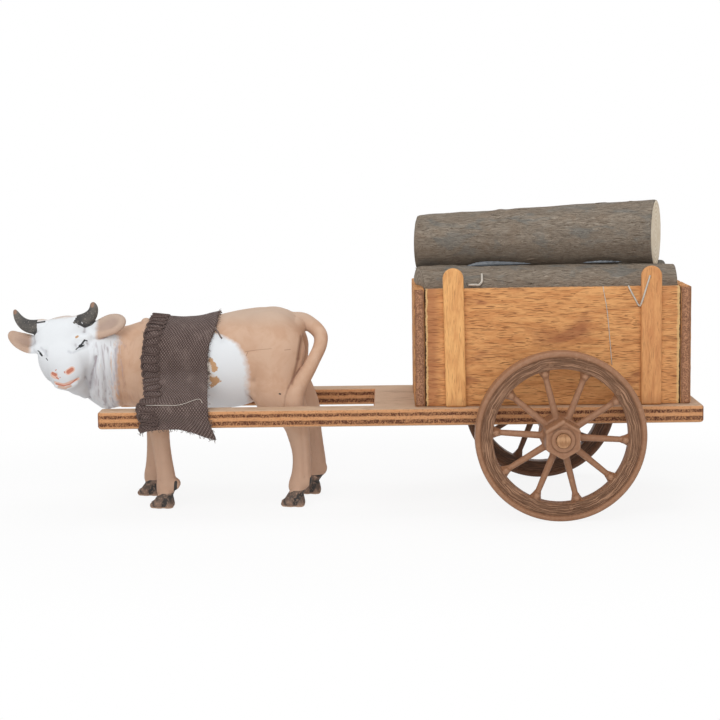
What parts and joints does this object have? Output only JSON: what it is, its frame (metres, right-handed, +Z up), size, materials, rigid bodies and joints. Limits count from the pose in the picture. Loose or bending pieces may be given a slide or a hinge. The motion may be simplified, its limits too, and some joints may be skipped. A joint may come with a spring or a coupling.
{
  "type": "toy bullock cart",
  "caption": "Toy bullock cart: plywood deck with two shafts, a thin box of twig logs, spoked wheels on a dowel axle, and a moulded ox under a cloth band.",
  "frame": {"origin": "on the ground, in the middle of the whole toy's length and width", "axes": "+X towards the cart's tail, +Y to the side away from the ox's turned head, +Z up"},
  "size_m": [0.2017, 0.084, 0.0877],
  "materials": {
    "plywood": "sanded plywood, light face and layered golden edge",
    "box_wood": "thin plywood, golden brown, fine dark pores",
    "stake_wood": "pale round-ended craft sticks",
    "dowel": "pale birch dowel",
    "bark": "real twig with grey-brown bark and pale cut ends",
    "ox_resin": "hand-painted cast figure, matte tan and white",
    "cloth": "dark brown knitted cloth with a stitched edge",
    "wheel_plastic": "moulded brown plastic with a wood grain"
  },
  "bodies": {
    "cart": {"deck": "plywood", "axle_dowel": "dowel", "box_side_near": "box_wood", "box_side_far": "box_wood", "box_end_front": "box_wood", "box_end_rear": "box_wood", "stake_near_front": "stake_wood", "stake_near_rear": "stake_wood", "stake_far_front": "stake_wood", "stake_far_rear": "stake_wood", "log_low_near": "bark", "log_low_far": "bark", "log_middle": "bark", "log_high_near": "bark", "log_high_far": "bark", "log_top": "bark", "ox": "ox_resin", "cloth_band": "cloth"},
    "near_wheel": {"wheel_near": "wheel_plastic"},
    "far_wheel": {"wheel_far": "wheel_plastic"}
  },
  "joints": [
    {"name": "near_wheel_spin", "type": "hinge", "parent": "cart", "child": "near_wheel", "pos_m": [0.0592, 0, 0.024], "axis": [0, 1, 0], "continuous": true},
    {"name": "far_wheel_spin", "type": "hinge", "parent": "cart", "child": "far_wheel", "pos_m": [0.0592, 0, 0.024], "axis": [0, 1, 0], "continuous": true}
  ]
}
